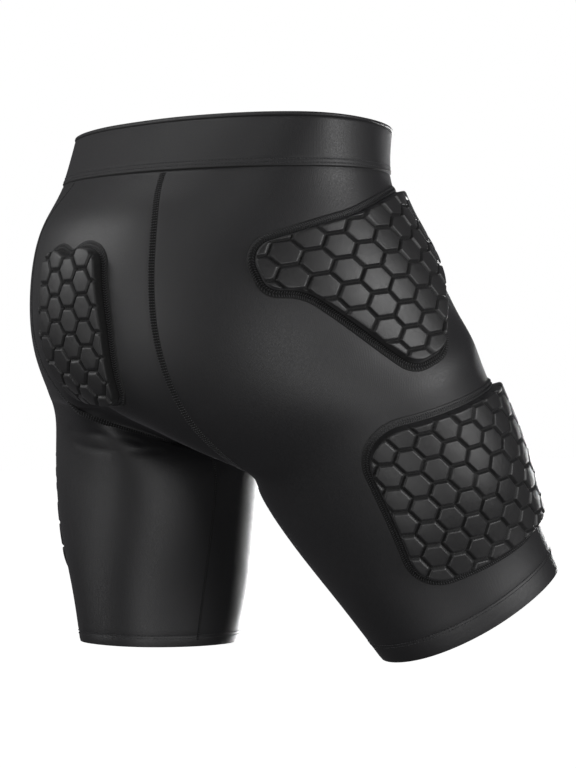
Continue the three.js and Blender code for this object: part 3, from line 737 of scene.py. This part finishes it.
bandStitch = {
    "length": 2.4, "gap": 0.6, "high": 0.2, "dip": 0.1, "radius": 0.2, "rows": (0.85, 0.925), "stand": 0.85,
}
bandStitches = []
for share in bandStitch["rows"]:
    bandStitches += runningRow(*bandLine(share, bandStitch["stand"], around + 1), bandStitch)
threadPiece("waistbandStitches", bandStitches, bandStitch["radius"])
print("seams stitched:", len(seamStitches) + len(inseamStitches) + len(hemStitches) + len(bandStitches))


# Pads: hexagonal cells with rounded shoulders, a soft side wall and a stitched margin, with painted shade in
# the grooves, on the wall and on the margin
cells = {
    "pitch": 21.5, "thickness": 9.0, "grooveDepth": 2.6, "grooveFloor": 0.3, "grooveHalf": 1.9,
    "crown": 0.2, "crownReach": 9, "cornerRadius": 20, "cornerSteps": 13, "step": 1.05, "marginTop": 1.2,
    "paintedGrooveShade": 0.8, "shadeStart": 0.6, "shadeSpan": 0.35, "paintedTopWallLight": 0.75,
    "underHeight": 0.1, "underRings": 8,
    # signed distance from the outline, height and painted shade there, from the margin over the wall: the
    # painted shade darkens the margin between its stitches and the side wall
    "wall": [
        (6.6, 0.2, 0.2), (6.2, 0.75, 0.6), (4.6, 0.95, 0.8), (3.2, 0.8, 1), (1.8, 0.95, 0.8), (0.7, 0.85, 1),
        (0.25, 1.0, 1), (0.05, 1.8, 1), (-0.25, 3.7, 1), (-0.6, 5.7, 1), (-0.9, 7.3, 0.9), (-1.15, 8.2, 0.4),
        (-1.5, 8.7, 0), (-2.0, 8.92, 0), (-2.8, 9.0, 0), (-3.6, 9.0, 0),
    ],
}
padShapes = {
    "hip": {
        "width": 190, "height": 134, "a": (0.9, -0.69), "b": (-0.09, -0.91), "start": (-0.37, -0.54),
        "corners": [
            (-0.475, 0.425, 1.0), (0, 0.36, 6.0), (0.545, 0.418, 1.1), (0.495, 0.03, 3.0),
            (0.168, -0.575, 1.2), (0.01, -0.59, 0.9), (-0.326, 0.067, 2.5), (-0.47, 0.15, 0.7),
        ],
    },
    "thigh": {
        "width": 178, "height": 140, "a": (0.735, -0.76), "b": (-0.11, -0.98), "start": (-0.63, -0.37),
        "corners": [(-0.505, 0.59, 1.5), (0.495, 0.275, 1.2), (0.505, -0.56, 1.2), (-0.495, -0.45, 1.5)],
    },
    "tail": {
        "width": 79, "height": 125, "a": (0.77, -0.46), "b": (0, -0.92), "start": (0.27, -0.06),
        "corners": [
            (-0.455, 0.4, 0.7), (-0.22, 0.45, 0.9), (0, 0.385, 0.6), (0.22, 0.45, 0.9), (0.455, 0.4, 0.7),
            (0.5, -0.065, 4.5), (0.43, -0.57, 0.6), (-0.43, -0.57, 0.6), (-0.5, -0.065, 4.5),
        ],
    },
}
padPlaces = {
    "right_hip_pad": ("hip", flanks[-1], (3.06, 2.81)),
    "left_hip_pad": ("hip", flanks[1], (3.06, 2.81)),
    "right_thigh_pad": ("thigh", flanks[-1], (2.92, 6.90)),
    "left_thigh_pad": ("thigh", flanks[1], (3.58, 6.88)),
    "tailbone_pad": ("tail", backLay, (10, 3.25)),
}


# The rounded outline in even steps, counter-clockwise, with its outward normals
def padOutline(shape):
    size = np.array([shape["width"], shape["height"]])
    places = [np.array(corner[:2]) * size for corner in shape["corners"]]
    outline = []
    for k, here in enumerate(places):
        u, w = places[k - 1] - here, places[(k + 1) % len(places)] - here
        limit = 0.49 * min(np.linalg.norm(u), np.linalg.norm(w))
        u, w = unit(u), unit(w)
        angle = math.acos(float(np.clip(u @ w, -1, 1)))
        reach = min(shape["corners"][k][2] * cells["cornerRadius"] / math.tan(angle / 2), limit)
        radius = reach * math.tan(angle / 2)
        middle = here + unit(u + w) * radius / math.sin(angle / 2)
        first, last = here + u * reach - middle, here + w * reach - middle
        swing = math.atan2(first[0] * last[1] - first[1] * last[0], first @ last)
        for t in np.linspace(0, swing, cells["cornerSteps"]):
            c, s = math.cos(t), math.sin(t)
            outline.append(middle + [first[0] * c - first[1] * s, first[0] * s + first[1] * c])
    outline = np.array(outline)
    x, y = outline.T
    if (x * np.roll(y, -1) - y * np.roll(x, -1)).sum() < 0:
        outline = outline[::-1]
    loop = np.concatenate([outline, outline[:1]])
    gone = np.concatenate([[0], np.cumsum(np.linalg.norm(np.diff(loop, axis=0), axis=1))])
    count = int(gone[-1] / cells["step"])
    marks = np.linspace(0, gone[-1], count, endpoint=False)
    even = np.stack([np.interp(marks, gone, loop[:, k]) for k in (0, 1)], 1)
    along = unit(np.roll(even, -2, 0) - np.roll(even, 2, 0))
    return even, np.stack([along[:, 1], -along[:, 0]], 1)


# How far each flat point lies from the border of its cell
def cellDepth(flat, shape):
    a, b = np.array(shape["a"]) * cells["pitch"], np.array(shape["b"]) * cells["pitch"]
    basis = np.stack([a, b], 1)
    share = flat @ np.linalg.inv(basis).T - np.array(shape["start"])
    corners = [(a * m + b * n) / 3 for m, n in ((1, 1), (2, -1), (1, -2), (-1, -1), (-2, 1), (-1, 2))]
    if corners[0][0] * corners[1][1] - corners[0][1] * corners[1][0] < 0:
        corners.reverse()
    best = np.full(len(flat), -1e9)
    for m in (-1, 0, 1, 2):
        for n in (-1, 0, 1, 2):
            cell = np.floor(share) + [m, n] + np.array(shape["start"])
            offset = flat - cell @ basis.T
            inside = np.full(len(flat), 1e9)
            for k in range(6):
                side = unit(corners[(k + 1) % 6] - corners[k])
                reach = side[0] * (offset[:, 1] - corners[k][1]) - side[1] * (offset[:, 0] - corners[k][0])
                inside = np.minimum(inside, reach)
            best = np.maximum(best, inside)
    return best


def easeIn(value):
    value = np.clip(value, 0, 1)
    return value * value * (3 - 2 * value)


# Rings of flat points from the margin over the wall to the heart, with their heights and painted shades
def padRings(outline, outward):
    offsets, heights, dark = (list(values) for values in zip(*cells["wall"]))
    rings = [outline + outward * offset for offset in offsets]
    edge, heart = rings[-1], outline.mean(0)
    ringCount = int(np.linalg.norm(edge - heart, axis=1).max() / cells["step"])
    shares = np.linspace(0, 1, ringCount + 1)[1:-1]
    rings += [edge * (1 - share) + heart * share for share in shares]
    heights += [cells["thickness"]] * len(shares)
    dark += [0] * len(shares)
    return rings, heart, heights, dark


# Height and painted shade of each flat point, with the grooves sunk between the cells and their floors
# painted dark as shade. Walls that face up get less painted shade, as though they catch the light.
def padRelief(flat, shape, heights, dark, outward):
    count = len(outward)
    height = np.append(np.repeat(heights, count), cells["thickness"])
    depth = cellDepth(flat, shape)
    raised = np.clip((height - cells["marginTop"]) / (cells["thickness"] - cells["marginTop"]), 0, 1)
    groove = 1 - easeIn((depth - cells["grooveFloor"]) / (cells["grooveHalf"] - cells["grooveFloor"]))
    crown = cells["crown"] * easeIn(depth / cells["crownReach"])
    height = height - cells["grooveDepth"] * groove * raised + crown * raised ** 4
    inGroove = easeIn((groove - cells["shadeStart"]) / cells["shadeSpan"]) * (raised > cells["shadeStart"])
    # walls that face up are painted lighter: a painted highlight where the light falls on them
    facing = np.tile(1 - cells["paintedTopWallLight"] * np.clip(outward[:, 1], 0, 1), len(dark))
    shade = np.append(np.repeat(dark, count) * facing, 0)
    return height, np.maximum(shade, inGroove * cells["paintedGrooveShade"])


# Faces between the rings on top and underneath, along the margin's edge and round both hearts
def padFaces(count, ringCount, underCount):
    around = np.arange(count)
    following = (around + 1) % count
    topHeart = ringCount * count
    base = topHeart + 1
    lowHeart = base + underCount * count
    faces = []
    for a in range(0, topHeart - count, count):
        b = a + count
        faces.append(np.stack([a + around, a + following, b + following, b + around], 1))
    for a in range(base, lowHeart - count, count):
        b = a + count
        faces.append(np.stack([a + around, b + around, b + following, a + following], 1))
    faces.append(np.stack([base + around, base + following, following, around], 1))
    last, lowLast = topHeart - count, lowHeart - count
    faces.append(np.stack([last + around, last + following, np.full(count, topHeart)], 1))
    faces.append(np.stack([lowLast + following, lowLast + around, np.full(count, lowHeart)], 1))
    return [face for group in faces for face in group.tolist()]


def padPiece(node, kind, lay, centre):
    shape = padShapes[kind]
    outline, outward = padOutline(shape)
    rings, heart, heights, dark = padRings(outline, outward)
    flat = np.concatenate(rings + [heart[None]])
    height, shade = padRelief(flat, shape, heights, dark, outward)
    top = lay.wrap(centre, flat, height)
    under = [0] + list(range(len(cells["wall"]) + 3, len(rings), cells["underRings"]))
    underFlat = np.concatenate([rings[k] for k in under] + [heart[None]])
    bottom = lay.wrap(centre, underFlat, np.full(len(underFlat), cells["underHeight"]))
    faces = padFaces(len(outline), len(rings), len(under))
    # columns run the other way round on the left side, which turns the faces over
    if np.cross(top[1] - top[0], top[len(outline)] - top[0]) @ (top[-1] - bottom[-1]) < 0:
        faces = [face[::-1] for face in faces]
    shade = np.append(shade, np.zeros(len(bottom)))
    name = node.replace("_pad", "") + "PadCells"
    piece = meshPiece(name, np.concatenate([top, bottom]), faces, laminatedPad, shade=shade)
    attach(piece, "root")
    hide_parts(node)
    return marginStitches(lay, centre, outline, outward)


# Short stitches across each pad's margin, in two rows that lean opposite ways
margin = {
    "pitch": 1.9, "rows": [(0.8, 2.8), (3.3, 5.5)], "high": 1.5, "low": 0.95, "radius": 0.3, "lean": 0.25,
}


def marginStitches(lay, centre, outline, outward):
    gone = np.linalg.norm(np.roll(outline, -1, 0) - outline, axis=1).sum()
    count = int(gone / margin["pitch"] / 2) * 2
    marks = np.linspace(0, len(outline), count, endpoint=False)
    loop, out = np.concatenate([outline, outline[:1]]), np.concatenate([outward, outward[:1]])
    numbers = np.arange(len(loop))
    place = np.stack([np.interp(marks, numbers, loop[:, k]) for k in (0, 1)], 1)
    away = unit(np.stack([np.interp(marks, numbers, out[:, k]) for k in (0, 1)], 1))

    def ring(offset, height):
        return lay.wrap(centre, place + away * offset, np.full(count, height))

    stitches = []
    for number, (near, far) in enumerate(margin["rows"]):
        starts, ends = ring(near, margin["low"]), ring(far, margin["low"])
        middles = ring((near + far) / 2, margin["high"])
        for k in range(count):
            n = (k + 1) % count
            first, last = (k, n) if number else (n, k)
            start = starts[first] * (1 - margin["lean"]) + starts[last] * margin["lean"]
            end = ends[first] * margin["lean"] + ends[last] * (1 - margin["lean"])
            stitches.append([start, (middles[k] + middles[n]) / 2, end])
    return stitches


padStitches = []
for node, (kind, lay, centre) in padPlaces.items():
    padStitches += padPiece(node, kind, lay, centre)
    print(node, "made")
threadPiece("padMarginStitches", padStitches, margin["radius"])
print("pad margins stitched:", len(padStitches))


# Pale floor and soft studio light
studio = {
    "floorDrop": 1.0, "floorSize": 60, "floorColor": (0.93, 0.93, 0.93),
    "lights": [
        # name, place, aim, width and height, power
        ("leftSoftbox", (1.6, 1.75, 0.7), (0, 0, -0.2), (0.8, 0.8), 20),
        ("leftLowSoftbox", (0.45, 2.5, -0.6), (0, 0, -0.3), (0.8, 0.9), 13),
        ("backSoftbox", (-0.42, 2.3, 0.8), (0, 0, -0.2), (0.9, 0.9), 5),
        ("highSoftbox", (-0.92, 1.6, 1.7), (0, 0, -0.1), (0.9, 0.9), 6),
        ("rightSoftbox", (-2.4, -0.9, 0.15), (0, 0, -0.2), (1.3, 1.4), 50),
        ("topSoftbox", (1.0, 0.4, 2.1), (0, 0, -0.1), (1.2, 1.2), 12),
        ("lowSoftbox", (-1.8, 0.95, -1.05), (0, 0, -0.3), (0.9, 0.6), 14),
        ("rimSoftbox", (1.26, -2.17, -0.6), (0, 0, -0.25), (1.0, 1.0), 70),
    ],
    "ambient": 0.05,
}

floorHeight = cadBox[0][2] - studio["floorDrop"]
bpy.ops.mesh.primitive_plane_add(size=studio["floorSize"], location=(0, 0, floorHeight))
floor = bpy.context.object
floor.name = "floor"
floorFinish = bpy.data.materials.new("floorFinish")
floorFinish.use_nodes = True
floorShader = floorFinish.node_tree.nodes["Principled BSDF"]
floorShader.inputs["Base Color"].default_value = (*studio["floorColor"], 1)
floorShader.inputs["Roughness"].default_value = 1.0
floorShader.inputs["Emission Color"].default_value = (1, 1, 1, 1)
floorShader.inputs["Emission Strength"].default_value = 1.0
floor.data.materials.append(floorFinish)
floor.visible_diffuse = False
floor.visible_glossy = False

for name, place, aim, size, power in studio["lights"]:
    away = np.array(place) - np.array(aim)
    tilt = math.acos(away[2] / np.linalg.norm(away))
    spin = math.atan2(away[1], away[0]) + math.pi / 2
    bpy.ops.object.light_add(type="AREA", location=place, rotation=(tilt, 0, spin))
    light = bpy.context.object
    light.name = name
    light.data.shape = "RECTANGLE"
    light.data.size, light.data.size_y = size
    light.data.energy = power

world = bpy.data.worlds.new("studioWorld")
world.use_nodes = True
bpy.context.scene.world = world
worldTone = Tone(world.node_tree)
isCamera = worldTone.node("ShaderNodeLightPath", {}, {}, "Is Camera Ray")
strength = isCamera * (1 - studio["ambient"]) + studio["ambient"]
background = world.node_tree.nodes["Background"]
background.inputs["Color"].default_value = (1, 1, 1, 1)
world.node_tree.links.new(strength.socket, background.inputs["Strength"])
bpy.context.scene.view_settings.view_transform = "Standard"
print("studio set")
